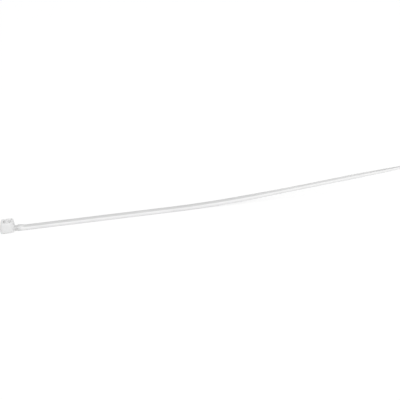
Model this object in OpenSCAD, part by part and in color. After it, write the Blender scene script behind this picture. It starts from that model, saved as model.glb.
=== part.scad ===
// Self-locking cable tie, moulded in one piece. The strap lies along +X with its
// serrations down, and the head is at the low end of X with its exit face up.
// The tie lies as it comes to rest: flat from the head to past its middle, with
// the tail bowed gently off the surface.

/* [Strap] */
// Length of the strap from the head to the tip
strap_length = 120; // [105:1:150]
// Width of the toothed strap
strap_width = 2.5; // [2.2:0.05:3]
// Thickness of the toothed strap, rails included
strap_thickness = 1.05; // [0.95:0.01:1.2]
// Radius along the strap's long edges
edge_radius = 0.18; // [0.1:0.01:0.25]

/* [Root] */
// Length of the thin neck between the head and the pad
neck_length = 0.75; // [0.5:0.05:1.2]
// Length over which the neck widens into the pad
neck_flare = 0.5; // [0.3:0.05:0.8]
// Width of the neck
neck_width = 2.05; // [1.8:0.05:2.15]
// Thickness of the neck
neck_thickness = 1.1; // [0.9:0.01:1.15]
// Height of the neck's underside above the strap's underside
neck_lift = 0.14; // [0.1:0.01:0.25]
// Length of the smooth pad after the neck
pad_length = 1; // [0.8:0.05:2]
// Height of the pad above the strap's smooth face
pad_rise = 0.3; // [0.1:0.01:0.4]
// Length of the slope from the pad down to the strap
pad_slope = 1.4; // [0.8:0.05:2]

/* [Serrations] */
// Distance from the pad to the channel that holds the teeth
channel_gap = 0.8; // [0.2:0.05:1]
// Length of the channel's open end before the first tooth
channel_lead = 0.45; // [0.3:0.05:0.8]
// Number of teeth
tooth_count = 67; // [40:1:74]
// Distance from one tooth to the next
tooth_pitch = 1; // [0.8:0.05:1.05]
// Height of a tooth
tooth_height = 0.38; // [0.25:0.01:0.45]
// Depth of the tooth tips below the surface of the rails
tooth_recess = 0.04; // [0.02:0.01:0.08]
// Length of a tooth's steep flank, measured along the strap
flank_run = 0.1; // [0.05:0.01:0.25]
// Length of the flat at a tooth's tip
tooth_land = 0.14; // [0.05:0.01:0.2]
// Width of the smooth rail on each side of the teeth
rail_width = 0.42; // [0.3:0.01:0.55]

/* [Tail] */
// Width of the plain tail
tail_width = 1.95; // [1.6:0.05:2.15]
// Thickness of the plain tail
tail_thickness = 0.9; // [0.8:0.01:0.94]
// Length over which the strap narrows to the tail
narrowing_length = 15; // [8:0.5:20]
// Length of the tapered tip
tip_length = 16; // [10:0.5:20]
// Width of the tip where its round end starts
tip_width = 1.15; // [0.9:0.05:1.4]
// Thickness of the tip at its end
tip_thickness = 0.7; // [0.6:0.01:0.78]
// Length of the tip's round end
tip_round = 1.1; // [0.6:0.05:1.5]

/* [Grip ribs] */
// Number of grip ribs on each face of the tail
grip_count = 16; // [6:1:18]
// Distance from one grip rib to the next
grip_pitch = 0.9; // [0.7:0.05:1]
// Height of a grip rib
grip_height = 0.09; // [0.05:0.01:0.12]
// Length of a grip rib along the tail, at its foot
grip_run = 0.42; // [0.3:0.01:0.5]
// Bare margin between a grip rib's end and the tail's edge
grip_margin = 0.22; // [0.18:0.01:0.3]
// Distance from the last grip rib to the tip
grip_to_tip = 4; // [3:0.5:8]

/* [Head] */
// Height of the head from its entry face to its exit face
head_height = 3.25; // [2.9:0.05:3.6]
// Thickness of the outer wall, which takes the locked strap's load
outer_wall = 1.42; // [1.2:0.01:2]
// Thickness of the wall on the strap's side
inner_wall = 0.78; // [0.75:0.01:1.2]
// Thickness of each side wall
side_wall = 0.9; // [0.8:0.05:1.4]
// Height of the head's widest level above its entry face
belly_height = 1.2; // [1.1:0.05:1.8]
// How far each end slopes in from the widest level to the exit face
exit_slope = 0.5; // [0.2:0.01:0.55]
// How far each end slopes in from the widest level to the entry face
entry_slope = 0.35; // [0.2:0.01:0.42]
// How far each side slopes in from the widest level
side_draft = 0.06; // [0.04:0.01:0.2]
// Radius of the edges of the exit and entry faces
face_radius = 0.22; // [0.15:0.01:0.3]
// Radius of the belly, seen from the side
belly_radius = 0.8; // [0.4:0.05:1]
// Radius of the head's upright corners
corner_radius = 1.75; // [1:0.05:1.9]

/* [Slot and pawl] */
// Clearance between the strap and the slot, on each side
slot_clearance = 0.2; // [0.12:0.01:0.3]
// Radius of the slot's corners
slot_radius = 0.22; // [0.1:0.01:0.3]
// Size of the lead-in bevels at the slot's entry
lead_in = 0.25; // [0.1:0.01:0.3]
// Thickness of the pawl at its free end
pawl_thickness = 0.92; // [0.8:0.01:1]
// How far the relaxed pawl leans into the strap's passage
pawl_lean = 0.56; // [0.4:0.01:0.65]
// Room behind the pawl once the strap has pushed it upright
pawl_room = 0.28; // [0.2:0.01:0.4]
// Thickness of the pawl's hinge
hinge_thickness = 0.5; // [0.4:0.01:0.6]
// Height of the hinge's underside above the entry face
hinge_height = 0.22; // [0.15:0.01:0.35]
// Clearance between the pawl and the slot's sides
pawl_side_gap = 0.32; // [0.2:0.01:0.4]
// Depth of the pawl's free end below the exit face
pawl_drop = 0.08; // [0.04:0.01:0.2]
// Number of teeth on the pawl
pawl_teeth = 2; // [1:1:2]
// Height of the pawl's teeth
pawl_tooth_height = 0.32; // [0.2:0.01:0.36]
// Clearance between the pawl's teeth and the strap's rails, on each side
pawl_teeth_gap = 0.1; // [0.05:0.01:0.15]
// Width of the release notch across the pawl's free end
notch_width = 0.2; // [0.12:0.01:0.25]
// Depth of the release notch
notch_depth = 0.28; // [0.15:0.01:0.4]

/* [Bow] */
// Length of the strap that lies flat, from the head
flat_length = 48; // [44:0.5:60]
// Length of the strap over which it bends upward
bend_length = 28; // [16:0.5:36]
// Angle of the raised tail above the surface
bend_angle = 4.7; // [2:0.1:6]

/* [Hidden] */

NYLON = [0.9, 0.9, 0.9];
// Small overlap that lets a cut pass through the surface that it opens
OVERCUT = 0.3;
// Depth to which the pawl's row of teeth is set into its body
RACK_SET = 0.15;
// Share of the tip's half width that its round end takes off, which leaves a small blunt end
END_CLOSING = 0.96;
// Largest share of the strap's half width that its edge radius takes, near the tip
WIDEST_EDGE = 0.8;
// Steps in the arc of a rounded edge, of an upright corner and of the strap's long edges
ARC_STEPS = 5;
CORNER_STEPS = 8;
RING_CORNER_STEPS = 2;
// Rings along the strap's root, its raised part and its round end
ROOT_STEPS = 16;
RAISED_STEPS = 26;
ROUND_STEPS = 6;

slot_width = strap_width + 2 * slot_clearance;
passage = strap_thickness + slot_clearance;
slot_length = passage + pawl_thickness + pawl_room;
head_length = outer_wall + slot_length + inner_wall;
head_width = slot_width + 2 * side_wall;
slot_start = outer_wall - head_length;
slot_end = -inner_wall;
channel_width = strap_width - 2 * rail_width;

pad_start = neck_length;
pad_end = pad_start + pad_length;
slope_end = pad_end + pad_slope;
channel_start = pad_end + channel_gap;
teeth_start = channel_start + channel_lead;
teeth_end = teeth_start + tooth_count * tooth_pitch;
narrowing_end = teeth_end + narrowing_length;
tip_start = strap_length - tip_length;
round_start = strap_length - tip_round;
root_depth = inner_wall / 2;
bend_radius = bend_length / (bend_angle * PI / 180);

// Share of the way from one value to another, held between 0 and 1
function share(value, from, to) = min(1, max(0, (value - from) / (to - from)));
function blend(a, b, t) = a + (b - a) * t;
function smooth(t) = t * t * (3 - 2 * t);

// The line of the strap's underside, by the distance s from the head: flat, then
// an arc, then straight again
function turn(s) = bend_angle * share(s, flat_length, flat_length + bend_length);
function raised(s) = max(0, s - flat_length - bend_length);
function line_x(s) = min(s, flat_length) + bend_radius * sin(turn(s)) + raised(s) * cos(bend_angle);
function line_z(s) = bend_radius * (1 - cos(turn(s))) + raised(s) * sin(bend_angle);
// The point at distance s along that line and height h off it
function bowed(s, h) = [line_x(s) - h * sin(turn(s)), line_z(s) + h * cos(turn(s))];

// The strap's section by the distance s from the head
function neck_share(s) = smooth(share(s, neck_length - neck_flare / 2, neck_length + neck_flare / 2));
function tail_share(s) = smooth(share(s, teeth_end, narrowing_end));
function body_width(s) = blend(blend(neck_width, strap_width, neck_share(s)), tail_width, tail_share(s));
function round_share(s) = sqrt(1 - pow(END_CLOSING * share(s, round_start, strap_length), 2));
function width_at(s) = blend(body_width(s), tip_width, share(s, tip_start, round_start)) * round_share(s);
function underside_at(s) = neck_lift * (1 - neck_share(s));
function body_thickness(s) = blend(strap_thickness, tail_thickness, tail_share(s));
function tip_thinning(s) = blend(body_thickness(s), tip_thickness, share(s, tip_start, strap_length));
function pad_at(s) = pad_rise * (1 - smooth(share(s, pad_end, slope_end)));
function pad_top_at(s) = tip_thinning(s) + pad_at(s);
function top_at(s) = blend(neck_lift + neck_thickness, pad_top_at(s), neck_share(s));

// Points round a corner of the given radius
function unit(v) = v / norm(v);
function corner_arc(before, corner, after, radius, steps) =
    let (
        a = unit(before - corner),
        b = unit(after - corner),
        half = acos(a * b) / 2,
        centre = corner + unit(a + b) * radius / sin(half),
        first = corner + a * radius / tan(half) - centre,
        start = atan2(first.y, first.x),
        side = sign(cross(corner - before, after - corner)),
        sweep = side * (180 - 2 * half)
    )
    [
        for (i = [0:steps])
            let (angle = start + sweep * i / steps)
            centre + radius * [cos(angle), sin(angle)]
    ];

// An outline with each corner rounded to its own radius
function rounded(points, radii, steps) =
    let (n = len(points))
    [
        for (i = [0:n - 1])
            each corner_arc(points[(i + n - 1) % n], points[i], points[(i + 1) % n], radii[i], steps)
    ];

// Extrudes an outline drawn in X and Z across the given width, centred on Y
module across(width) {
    rotate([90, 0, 0])
        linear_extrude(height = width, center = true)
            children();
}

// Outline of the head seen from the side, in X and Z
function head_side_outline() =
    let (low = -head_length, high = 0, top = head_height)
    [
        [low + entry_slope, 0],
        [high - entry_slope, 0],
        [high, belly_height],
        [high - exit_slope, top],
        [low + exit_slope, top],
        [low, belly_height]
    ];

// Outline of the head seen from its end, in Y and Z
function head_end_outline() =
    let (wide = head_width / 2, narrow = head_width / 2 - side_draft)
    [
        [-narrow, 0],
        [narrow, 0],
        [wide, belly_height],
        [narrow, head_height],
        [-narrow, head_height],
        [-wide, belly_height]
    ];

FACE_AND_BELLY_RADII = [
    face_radius,
    face_radius,
    belly_radius,
    face_radius,
    face_radius,
    belly_radius
];

module head_block() {
    intersection() {
        across(head_width)
            polygon(rounded(head_side_outline(), FACE_AND_BELLY_RADII, ARC_STEPS));
        translate([-head_length / 2, 0, 0])
            rotate([90, 0, 90])
                linear_extrude(height = head_length, center = true)
                    polygon(rounded(head_end_outline(), FACE_AND_BELLY_RADII, ARC_STEPS));
        linear_extrude(height = head_height)
            polygon(rounded_rectangle(-head_length, 0, head_width, corner_radius, CORNER_STEPS));
    }
}

// A rectangle between two values of X, centred on Y, with its corners rounded
function rounded_rectangle(from, to, width, radius, steps) =
    let (
        corners = [
            [from, -width / 2],
            [to, -width / 2],
            [to, width / 2],
            [from, width / 2]
        ]
    )
    rounded(corners, [radius, radius, radius, radius], steps);

// The slot runs straight through the head, with a bevel on the outer wall at its entry
module strap_slot() {
    translate([0, 0, -OVERCUT])
        linear_extrude(height = head_height + 2 * OVERCUT)
            polygon(rounded_rectangle(slot_start, slot_end, slot_width, slot_radius, ARC_STEPS));
    across(slot_width - 2 * slot_radius)
        polygon([
            [slot_start - lead_in - OVERCUT, -OVERCUT],
            [slot_start + OVERCUT, -OVERCUT],
            [slot_start + OVERCUT, lead_in],
            [slot_start, lead_in]
        ]);
}

// The pawl is hinged on the strap's side, low in the slot, and leans up into the
// passage. This is where its front stands at height z, before its teeth.
pawl_top = head_height - pawl_drop;
hinge_top = hinge_height + hinge_thickness;
pawl_foot = slot_start + passage + pawl_tooth_height;
pawl_tip = slot_start + passage - pawl_lean + pawl_tooth_height;
function pawl_front(z) = blend(pawl_foot, pawl_tip, share(z, hinge_top, pawl_top));

module pawl() {
    back = pawl_tip + pawl_thickness - pawl_tooth_height;
    difference() {
        across(slot_width - 2 * pawl_side_gap)
            polygon([
                [slot_end + root_depth, hinge_height],
                [pawl_foot + lead_in, hinge_height],
                [pawl_foot, hinge_height + lead_in],
                [pawl_foot, hinge_top],
                [pawl_tip, pawl_top],
                [back, pawl_top],
                [back, hinge_top + hinge_thickness],
                [back + hinge_thickness / 2, hinge_top],
                [slot_end + root_depth, hinge_top]
            ]);
        release_notch();
    }
    pawl_rack();
}

// The pawl's teeth fit between the strap's rails. They are flat above, to hold the
// strap, and sloped below, to let it slide in.
module pawl_rack() {
    function step(i) = pawl_top - i * tooth_pitch;
    across(channel_width - 2 * pawl_teeth_gap)
        polygon([
            for (i = [0:pawl_teeth - 1])
                each [
                    [pawl_front(step(i)), step(i)],
                    [pawl_front(step(i)) - pawl_tooth_height, step(i)],
                    [pawl_front(step(i)) - pawl_tooth_height, step(i) - tooth_land],
                    [pawl_front(step(i + 1)), step(i + 1)]
                ],
            [pawl_front(step(pawl_teeth)) + RACK_SET, step(pawl_teeth)],
            [pawl_tip + RACK_SET, pawl_top]
        ]);
}

// A small tool pressed into this notch pushes the pawl back to free the strap
module release_notch() {
    middle = pawl_tip + (pawl_thickness - pawl_tooth_height) / 2;
    across(slot_width)
        polygon([
            [middle, pawl_top - notch_depth],
            [middle + notch_width / 2, pawl_top + OVERCUT],
            [middle - notch_width / 2, pawl_top + OVERCUT]
        ]);
}

module head() {
    difference() {
        head_block();
        strap_slot();
    }
    pawl();
}

// One ring of the strap's surface: a rectangle with rounded corners at distance s
function strap_ring(s) =
    let (
        low = underside_at(s),
        high = top_at(s),
        half = width_at(s) / 2,
        radius = min(edge_radius, half * WIDEST_EDGE),
        corners = [[half, high], [-half, high], [-half, low], [half, low]],
        inward = [[-1, -1], [1, -1], [1, 1], [-1, 1]]
    )
    [
        for (c = [0:3], i = [0:RING_CORNER_STEPS])
            let (
                angle = 90 * c + 90 * i / RING_CORNER_STEPS,
                y = corners[c].x + inward[c].x * radius + radius * cos(angle),
                h = corners[c].y + inward[c].y * radius + radius * sin(angle),
                p = bowed(s, h)
            )
            [p.x, y, p.y]
    ];

// Distances at which the strap's rings stand
function stations() = [
    -root_depth,
    for (i = [0:ROOT_STEPS]) blend(0, slope_end, i / ROOT_STEPS),
    for (i = [0:RAISED_STEPS]) blend(flat_length, round_start, i / RAISED_STEPS),
    for (i = [1:ROUND_STEPS]) blend(round_start, strap_length, sin(90 * i / ROUND_STEPS))
];

// Joins rings that have the same number of points into one closed solid
module loft(rings) {
    n = len(rings[0]);
    last = len(rings) - 1;
    polyhedron(
        points = [for (ring = rings) each ring],
        faces = [
            [for (i = [0:n - 1]) i],
            for (r = [0:last - 1], i = [0:n - 1])
                [r * n + i, (r + 1) * n + i, (r + 1) * n + (i + 1) % n, r * n + (i + 1) % n],
            [for (i = [n - 1:-1:0]) last * n + i]
        ],
        convexity = 4
    );
}

// The channel that is cut between the rails leaves the teeth standing. Each
// tooth's steep flank faces the head, and its ramp faces the tip.
function tooth_at(i) = teeth_start + i * tooth_pitch;
function channel_outline() =
    let (roof = tooth_recess + tooth_height)
    [
        bowed(channel_start, roof),
        for (i = [0:tooth_count - 1])
            each [
                bowed(tooth_at(i), roof),
                bowed(tooth_at(i) + flank_run, tooth_recess),
                bowed(tooth_at(i) + flank_run + tooth_land, tooth_recess)
            ],
        bowed(teeth_end, roof),
        for (i = [tooth_count:-1:0]) bowed(tooth_at(i), -OVERCUT),
        bowed(channel_start, -OVERCUT)
    ];

module tooth_channel() {
    across(channel_width)
        polygon(channel_outline());
}

// A low rib across the tail, on its upper face (side 1) or its underside (side 0)
module grip_rib(s, side) {
    face = side == 1 ? top_at(s) : 0;
    out = side == 1 ? 1 : -1;
    across(width_at(s) - 2 * grip_margin)
        polygon([
            bowed(s - grip_run / 2, face - out * grip_height),
            bowed(s + grip_run / 2, face - out * grip_height),
            bowed(s + grip_run / 2, face - out * grip_height / 2),
            bowed(s + grip_run / 4, face + out * grip_height),
            bowed(s - grip_run / 4, face + out * grip_height),
            bowed(s - grip_run / 2, face - out * grip_height / 2)
        ]);
}

module strap() {
    difference() {
        loft([for (s = stations()) strap_ring(s)]);
        tooth_channel();
    }
    for (i = [0:grip_count - 1], side = [0:1])
        grip_rib(strap_length - grip_to_tip - i * grip_pitch, side);
}

module cable_tie() {
    span = head_length + line_x(strap_length);
    color(NYLON)
        translate([head_length - span / 2, 0, 0])
            union() {
                head();
                strap();
            }
}

cable_tie();
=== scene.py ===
import math

import bpy
from mathutils import Matrix, Vector


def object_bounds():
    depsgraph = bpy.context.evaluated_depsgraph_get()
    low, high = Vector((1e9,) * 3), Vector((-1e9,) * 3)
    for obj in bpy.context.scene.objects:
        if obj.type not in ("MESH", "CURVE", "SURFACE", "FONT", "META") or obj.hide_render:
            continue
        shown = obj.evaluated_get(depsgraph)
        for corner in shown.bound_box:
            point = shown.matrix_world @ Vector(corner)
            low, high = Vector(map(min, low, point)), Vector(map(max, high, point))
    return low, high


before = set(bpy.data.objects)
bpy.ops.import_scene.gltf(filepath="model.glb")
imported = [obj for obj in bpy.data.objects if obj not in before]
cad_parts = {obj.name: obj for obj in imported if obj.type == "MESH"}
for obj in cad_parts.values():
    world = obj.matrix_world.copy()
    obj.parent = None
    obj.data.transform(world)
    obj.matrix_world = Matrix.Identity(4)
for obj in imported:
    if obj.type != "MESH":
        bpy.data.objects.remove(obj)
cad_low, cad_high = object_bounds()

scene = bpy.context.scene
scene.view_settings.view_transform = "Standard"
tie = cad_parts["cable_tie"]


# Camera: the photograph looks along the tie's side from a little above, with the
# picture turned so that the strap runs up to the right
TARGET = Vector((0.0, 0.0, 0.0015))
ELEVATION = math.radians(20.0)
ROLL = math.radians(-6.96)
DISTANCE = 0.45
PIXELS_PER_METRE = 3268.9
TARGET_PIXEL = (201.7, 202.7)
FRAME_PIXELS = 400
SENSOR_WIDTH = 36.0
NEAREST = 0.01
FURTHEST = 10.0


def make_camera():
    data = bpy.data.cameras.new("camera")
    data.sensor_width = SENSOR_WIDTH
    data.sensor_fit = "HORIZONTAL"
    data.lens = PIXELS_PER_METRE * DISTANCE * SENSOR_WIDTH / FRAME_PIXELS
    data.clip_start = NEAREST
    data.clip_end = FURTHEST
    data.dof.use_dof = False
    camera = bpy.data.objects.new("camera", data)
    scene.collection.objects.link(camera)
    ahead = Vector((0.0, math.cos(ELEVATION), -math.sin(ELEVATION)))
    level = Vector((1.0, 0.0, 0.0))
    upright = level.cross(ahead)
    right = level * math.cos(ROLL) + upright * math.sin(ROLL)
    up = upright * math.cos(ROLL) - level * math.sin(ROLL)
    across = (TARGET_PIXEL[0] - FRAME_PIXELS / 2) / PIXELS_PER_METRE
    down = (TARGET_PIXEL[1] - FRAME_PIXELS / 2) / PIXELS_PER_METRE
    place = TARGET - ahead * DISTANCE - right * across + up * down
    turn = Matrix((right, up, -ahead)).transposed().to_4x4()
    camera.matrix_world = Matrix.Translation(place) @ turn
    scene.camera = camera


# Nodes and colours
class Nodes:
    """A small helper that adds and links nodes in one tree."""

    def __init__(self, tree):
        self.tree = tree

    def add(self, kind, **values):
        node = self.tree.nodes.new(kind)
        for name, value in values.items():
            setattr(node, name, value)
        return node

    def link(self, output, socket):
        self.tree.links.new(output, socket)

    def ramp(self, value, low, high, at_low, at_high):
        """A value that goes from at_low to at_high as the given one goes from low to high."""
        node = self.add("ShaderNodeMapRange")
        node.inputs["From Min"].default_value = low
        node.inputs["From Max"].default_value = high
        node.inputs["To Min"].default_value = at_low
        node.inputs["To Max"].default_value = at_high
        self.link(value, node.inputs["Value"])
        return node.outputs["Result"]

    def between(self, value, low, high, soft):
        """A mask that is 1 from low to high and fades out over the distance soft."""
        rising = self.ramp(value, low - soft, low, 0.0, 1.0)
        falling = self.ramp(value, high, high + soft, 1.0, 0.0)
        return self.times(rising, falling)

    def times(self, first, *others):
        product = first
        for other in others:
            node = self.add("ShaderNodeMath", operation="MULTIPLY")
            self.link(product, node.inputs[0])
            self.link(other, node.inputs[1])
            product = node.outputs["Value"]
        return product

    def mixed(self, colour, share, other, blend_type="MIX"):
        """The colour with a share of another one mixed into it."""
        node = self.add("ShaderNodeMix", data_type="RGBA", blend_type=blend_type)
        node.inputs["B"].default_value = other
        self.link(share, node.inputs["Factor"])
        self.link(colour, node.inputs["A"])
        return node.outputs["Result"]

    # Multiplies a share of the colour by a grey; here it paints shade into the colour
    def painted_darker(self, colour, share, shade_level):
        return self.mixed(colour, share, grey(shade_level), "MULTIPLY")


def grey(level):
    return (level, level, level, 1.0)


def empty_material(name):
    material = bpy.data.materials.new(name)
    material.use_nodes = True
    material.node_tree.nodes.clear()
    return material, Nodes(material.node_tree)


# Cloudiness of the nylon: how fine it is along and across the tie, the levels of its
# noise below and above which it is darkest and brightest, and those two greys
CLOUD_FINENESS = (160.0, 420.0, 420.0)
CLOUD_DETAIL = 3.0
CLOUD_DARK_BELOW = 0.3
CLOUD_BRIGHT_ABOVE = 0.72
CLOUD_DARK = 0.81
CLOUD_BRIGHT = 0.855


def clouded(n, position):
    """The faint cloudiness of moulded nylon, drawn out along the strap."""
    stretch = n.add("ShaderNodeMapping", vector_type="POINT")
    stretch.inputs["Scale"].default_value = CLOUD_FINENESS
    n.link(position, stretch.inputs["Vector"])
    cloud = n.add("ShaderNodeTexNoise")
    cloud.inputs["Scale"].default_value = 1.0
    cloud.inputs["Detail"].default_value = CLOUD_DETAIL
    n.link(stretch.outputs["Vector"], cloud.inputs["Vector"])
    colour = n.add("ShaderNodeValToRGB")
    dark, bright = colour.color_ramp.elements
    dark.position = CLOUD_DARK_BELOW
    dark.color = grey(CLOUD_DARK)
    bright.position = CLOUD_BRIGHT_ABOVE
    bright.color = grey(CLOUD_BRIGHT)
    n.link(cloud.outputs["Fac"], colour.inputs["Fac"])
    return colour.outputs["Color"]


# Places along the tie, in metres
HEAD_LENGTH = 0.00465
HEAD_START = cad_low.x
HEAD_END = HEAD_START + HEAD_LENGTH
NECK_END = HEAD_END + 0.00075
PAD_END = HEAD_END + 0.00175
CHANNEL_START = HEAD_END + 0.00315
TEETH_END = HEAD_END + 0.070
TAIL_START = HEAD_END + 0.085
TIP_SHADE_AT = HEAD_END + 0.110

# Distances in metres over which the painted shade fades in or out near those places
HEAD_BLEND = 0.00005
NECK_BLEND = 0.0002
NECK_FADE = 0.0016
PAD_BLEND = 0.0006
TIP_BLEND = 0.002

# Heights in metres between which the painted shadow from what the tie lies on fades out
LOW_SHADE = 0.0002
LOW_SHADE_END = 0.0008

# How far a surface faces up, as the upright part of its normal
UPWARD_START = 0.55
UPWARD = 0.95
DOWNWARD_START = -0.2
DOWNWARD = -0.6

# Painted shade: the share of the base colour that is left at each place, and how much of the
# web's painted shade the plain tail keeps
WEB_PAINTED_SHADE = 0.82
TAIL_SHARE = 0.7
HEAD_PAINTED_SHADE = 0.965
NECK_PAINTED_SHADE = 0.76
TIP_PAINTED_SHADE = 0.86
LOW_PAINTED_SHADOW = 0.82


def with_painted_shade(n, colour, where, facing):
    """Paints shade into the colour: on the strap's top, the head, the neck, the tip, the low
    edges.
    """
    along = where.outputs["X"]
    upward = n.ramp(facing.outputs["Z"], UPWARD_START, UPWARD, 0.0, 1.0)

    # painted shade on the upward broad face of the strap, over the toothed channel, where the
    # top lies darker in the light than the side
    to_channel = n.ramp(along, PAD_END - PAD_BLEND, CHANNEL_START, 0.0, 1.0)
    to_tail = n.ramp(along, TEETH_END, TAIL_START, 1.0, TAIL_SHARE)
    colour = n.painted_darker(colour, n.times(to_channel, to_tail, upward), WEB_PAINTED_SHADE)

    # painted shade over all of the head, and darker painted shade on the neck on all its
    # sides, where the head shades it
    in_head = n.ramp(along, HEAD_END - HEAD_BLEND, HEAD_END + HEAD_BLEND, 1.0, 0.0)
    colour = n.painted_darker(colour, in_head, HEAD_PAINTED_SHADE)
    past_head = n.ramp(along, HEAD_END - HEAD_BLEND, HEAD_END + HEAD_BLEND, 0.0, 1.0)
    fading = n.ramp(along, NECK_END - NECK_BLEND, NECK_END + NECK_FADE, 1.0, 0.0)
    colour = n.painted_darker(colour, n.times(past_head, fading), NECK_PAINTED_SHADE)

    # painted shade on the upward faces of the tip
    to_tip = n.ramp(along, TIP_SHADE_AT - TIP_BLEND, TIP_SHADE_AT + TIP_BLEND, 0.0, 1.0)
    colour = n.painted_darker(colour, n.times(to_tip, upward), TIP_PAINTED_SHADE)

    # painted shadow on the lower edges that face down, close to what the tie lies on
    downward = n.ramp(facing.outputs["Z"], DOWNWARD_START, DOWNWARD, 0.0, 1.0)
    low_down = n.ramp(where.outputs["Z"], LOW_SHADE, LOW_SHADE_END, 1.0, 0.0)
    return n.painted_darker(colour, n.times(downward, low_down), LOW_PAINTED_SHADOW)


# The slot through the head, in metres: its ends, its half width, the height below
# which it is deep, and the distances over which those masks fade
SLOT_START = HEAD_START + 0.00142
SLOT_END = HEAD_END - 0.00078
SLOT_SIDE = 0.00145
SLOT_DEEP = 0.0031
SLOT_BLEND = 0.00002
SLOT_DEEP_BLEND = 0.0003
# A paler base colour for the slot's inside: painted light
SLOT_PAINTED_LIGHT = 0.9


def slot_masks(n, where):
    """Masks of the slot's inside, and of its deep part."""
    lengthways = n.between(where.outputs["X"], SLOT_START, SLOT_END, SLOT_BLEND)
    sideways = n.between(where.outputs["Y"], -SLOT_SIDE, SLOT_SIDE, SLOT_BLEND)
    in_slot = n.times(lengthways, sideways)
    below_exit = n.ramp(where.outputs["Z"], SLOT_DEEP - SLOT_DEEP_BLEND, SLOT_DEEP, 1.0, 0.0)
    return in_slot, n.times(in_slot, below_exit)


# Satin of the mould: a grain that moves roughness and surface a little, in metres
GRAIN_FINENESS = 4500.0
GRAIN_DETAIL = 4.0
GRAIN_HEIGHT = 0.00002
GRAIN_STRENGTH = 0.6
SMOOTHEST = 0.34
ROUGHEST = 0.5
EDGE_RADIUS = 0.00008
EDGE_SAMPLES = 6


def add_satin(n, shader, position):
    """Gives the shader the mould's grain, and edges that catch the light."""
    grain = n.add("ShaderNodeTexNoise")
    grain.inputs["Scale"].default_value = GRAIN_FINENESS
    grain.inputs["Detail"].default_value = GRAIN_DETAIL
    n.link(position, grain.inputs["Vector"])
    roughness = n.ramp(grain.outputs["Fac"], 0.0, 1.0, SMOOTHEST, ROUGHEST)
    n.link(roughness, shader.inputs["Roughness"])
    edge = n.add("ShaderNodeBevel", samples=EDGE_SAMPLES)
    edge.inputs["Radius"].default_value = EDGE_RADIUS
    bump = n.add("ShaderNodeBump")
    bump.inputs["Strength"].default_value = GRAIN_STRENGTH
    bump.inputs["Distance"].default_value = GRAIN_HEIGHT
    n.link(grain.outputs["Fac"], bump.inputs["Height"])
    n.link(edge.outputs["Normal"], bump.inputs["Normal"])
    n.link(bump.outputs["Normal"], shader.inputs["Normal"])


# Light in the nylon: the share that scatters and how far it goes in metres, on the
# outside and deep in the slot, and the gloss
SCATTERED = 0.4
SCATTERED_DEEP = 1.0
SCATTER_REACH = 0.0008
SCATTER_REACH_DEEP = 0.004
NYLON_IOR = 1.53
NYLON_GLOSS = 0.4


def nylon_material():
    material, n = empty_material("milky_nylon")
    out = n.add("ShaderNodeOutputMaterial")
    shader = n.add("ShaderNodeBsdfPrincipled", subsurface_method="RANDOM_WALK")
    n.link(shader.outputs["BSDF"], out.inputs["Surface"])
    surface = n.add("ShaderNodeNewGeometry")
    position = surface.outputs["Position"]
    where = n.add("ShaderNodeSeparateXYZ")
    n.link(position, where.inputs["Vector"])
    facing = n.add("ShaderNodeSeparateXYZ")
    n.link(surface.outputs["True Normal"], facing.inputs["Vector"])

    # light comes through the thin walls into the slot, so its inside is brighter: painted
    # light in a paler base colour there, and its deep part scatters further
    in_slot, deep_in_slot = slot_masks(n, where)
    outside = with_painted_shade(n, clouded(n, position), where, facing)
    n.link(n.mixed(outside, in_slot, grey(SLOT_PAINTED_LIGHT)), shader.inputs["Base Color"])
    scattered = n.ramp(deep_in_slot, 0.0, 1.0, SCATTERED, SCATTERED_DEEP)
    n.link(scattered, shader.inputs["Subsurface Weight"])
    reach = n.ramp(deep_in_slot, 0.0, 1.0, SCATTER_REACH, SCATTER_REACH_DEEP)
    n.link(reach, shader.inputs["Subsurface Scale"])
    shader.inputs["Subsurface Radius"].default_value = (1.0, 1.0, 1.0)
    shader.inputs["IOR"].default_value = NYLON_IOR
    shader.inputs["Specular IOR Level"].default_value = NYLON_GLOSS
    add_satin(n, shader, position)
    return material


# Shading: two faces shade as one smooth surface where they meet at less than the
# first angle on an edge straight across the tie, as the teeth's edges are, and at
# less than the second on an edge whose direction is less sideways than STRAIGHT_ACROSS
ACROSS_SMOOTH_BELOW = math.radians(24.0)
SMOOTH_BELOW = math.radians(46.0)
STRAIGHT_ACROSS = 0.95
WELD_DISTANCE = 0.0000005


def smooth_limit(n):
    """The angle below which an edge is smooth, by how far the edge runs across."""
    ends = n.add("GeometryNodeInputMeshEdgeVertices")
    span = n.add("ShaderNodeVectorMath", operation="SUBTRACT")
    n.link(ends.outputs["Position 1"], span.inputs[0])
    n.link(ends.outputs["Position 2"], span.inputs[1])
    heading = n.add("ShaderNodeVectorMath", operation="NORMALIZE")
    n.link(span.outputs["Vector"], heading.inputs[0])
    parts = n.add("ShaderNodeSeparateXYZ")
    n.link(heading.outputs["Vector"], parts.inputs["Vector"])
    sideways = n.add("ShaderNodeMath", operation="ABSOLUTE")
    n.link(parts.outputs["Y"], sideways.inputs[0])
    far_across = sideways.outputs["Value"]
    return n.ramp(far_across, STRAIGHT_ACROSS, 1.0, SMOOTH_BELOW, ACROSS_SMOOTH_BELOW)


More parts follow.
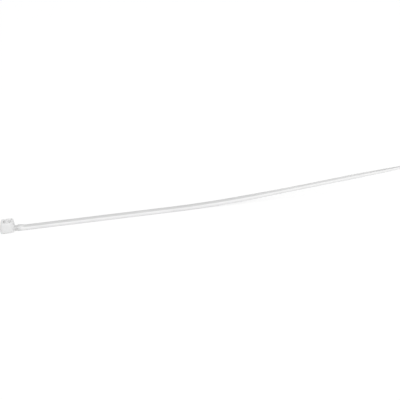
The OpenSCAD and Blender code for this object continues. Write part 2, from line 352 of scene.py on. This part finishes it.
def smooth_low_angles(piece):
    """Shades the tie's rounded edges as round and keeps its other edges sharp."""
    tree = bpy.data.node_groups.new("smooth_low_angles", "GeometryNodeTree")
    tree.interface.new_socket("Geometry", in_out="INPUT", socket_type="NodeSocketGeometry")
    tree.interface.new_socket("Geometry", in_out="OUTPUT", socket_type="NodeSocketGeometry")
    n = Nodes(tree)
    given = n.add("NodeGroupInput")
    welded = n.add("GeometryNodeMergeByDistance")
    welded.inputs["Distance"].default_value = WELD_DISTANCE
    n.link(given.outputs["Geometry"], welded.inputs["Geometry"])
    angle = n.add("GeometryNodeInputMeshEdgeAngle")
    sharp = n.add("FunctionNodeCompare", data_type="FLOAT", operation="GREATER_THAN")
    n.link(angle.outputs["Unsigned Angle"], sharp.inputs["A"])
    n.link(smooth_limit(n), sharp.inputs["B"])
    shaded = n.add("GeometryNodeSetMeshNormal", mode="SHARPNESS")
    shaded.inputs["Remove Custom"].default_value = True
    n.link(welded.outputs["Geometry"], shaded.inputs["Mesh"])
    n.link(sharp.outputs["Result"], shaded.inputs["Edge Sharpness"])
    result = n.add("NodeGroupOutput")
    n.link(shaded.outputs["Mesh"], result.inputs["Geometry"])
    modifier = piece.modifiers.new("smooth_low_angles", "NODES")
    modifier.node_group = tree


# Floor: half its side and how far it lies under the tie, in metres, and its greys.
# What is seen of it is a glow and a faint matte part that keeps the shadow, and
# together they come to white
FLOOR_HALF = 1.5
FLOOR_DROP = 0.00002
FLOOR_GREY = 0.7
SEEN_GLOW = 0.84
SEEN_GREY = 0.19


def seen_directly(n):
    """A mask of the rays from the camera, off gloss and through clear things."""
    path = n.add("ShaderNodeLightPath")
    seen = path.outputs["Is Camera Ray"]
    for ray in ("Is Glossy Ray", "Is Transmission Ray"):
        either = n.add("ShaderNodeMath", operation="MAXIMUM")
        n.link(seen, either.inputs[0])
        n.link(path.outputs[ray], either.inputs[1])
        seen = either.outputs["Value"]
    return seen


def floor_material():
    material, n = empty_material("pale_floor")
    out = n.add("ShaderNodeOutputMaterial")
    matte = n.add("ShaderNodeBsdfDiffuse")
    matte.inputs["Color"].default_value = grey(FLOOR_GREY)
    faint = n.add("ShaderNodeBsdfDiffuse")
    faint.inputs["Color"].default_value = grey(SEEN_GREY)
    glow = n.add("ShaderNodeEmission")
    glow.inputs["Color"].default_value = grey(1.0)
    glow.inputs["Strength"].default_value = SEEN_GLOW
    white = n.add("ShaderNodeAddShader")
    n.link(faint.outputs["BSDF"], white.inputs[0])
    n.link(glow.outputs["Emission"], white.inputs[1])
    mix = n.add("ShaderNodeMixShader")
    n.link(seen_directly(n), mix.inputs["Fac"])
    n.link(matte.outputs["BSDF"], mix.inputs[1])
    n.link(white.outputs["Shader"], mix.inputs[2])
    n.link(mix.outputs["Shader"], out.inputs["Surface"])
    return material


def make_floor():
    corners = [
        (-FLOOR_HALF, -FLOOR_HALF, 0.0),
        (FLOOR_HALF, -FLOOR_HALF, 0.0),
        (FLOOR_HALF, FLOOR_HALF, 0.0),
        (-FLOOR_HALF, FLOOR_HALF, 0.0),
    ]
    mesh = bpy.data.meshes.new("floor")
    mesh.from_pydata(corners, [], [(0, 1, 2, 3)])
    mesh.materials.append(floor_material())
    floor = bpy.data.objects.new("floor", mesh)
    floor.location = (0.0, 0.0, -FLOOR_DROP)
    scene.collection.objects.link(floor)


# Light: an even white world and one soft lamp in front of the tie, in metres and watts
WORLD_STRENGTH = 0.8
LAMP_PLACE = Vector((0.08, -0.7, 0.35))
LAMP_AIM = Vector((0.0, 0.0, 0.0))
LAMP_SIZE = 0.5
LAMP_POWER = 2.15


def make_world():
    world = bpy.data.worlds.new("world")
    world.use_nodes = True
    world.node_tree.nodes.clear()
    n = Nodes(world.node_tree)
    out = n.add("ShaderNodeOutputWorld")
    sky = n.add("ShaderNodeBackground")
    sky.inputs["Color"].default_value = grey(1.0)
    sky.inputs["Strength"].default_value = WORLD_STRENGTH
    n.link(sky.outputs["Background"], out.inputs["Surface"])
    scene.world = world


def make_front_lamp():
    data = bpy.data.lights.new("front", "AREA")
    data.shape = "DISK"
    data.size = LAMP_SIZE
    data.energy = LAMP_POWER
    lamp = bpy.data.objects.new("front", data)
    lamp.location = LAMP_PLACE
    lamp.rotation_mode = "QUATERNION"
    lamp.rotation_quaternion = (LAMP_AIM - LAMP_PLACE).to_track_quat("-Z", "Y")
    scene.collection.objects.link(lamp)


make_camera()
tie.data.materials.clear()
tie.data.materials.append(nylon_material())
smooth_low_angles(tie)
make_floor()
make_world()
make_front_lamp()
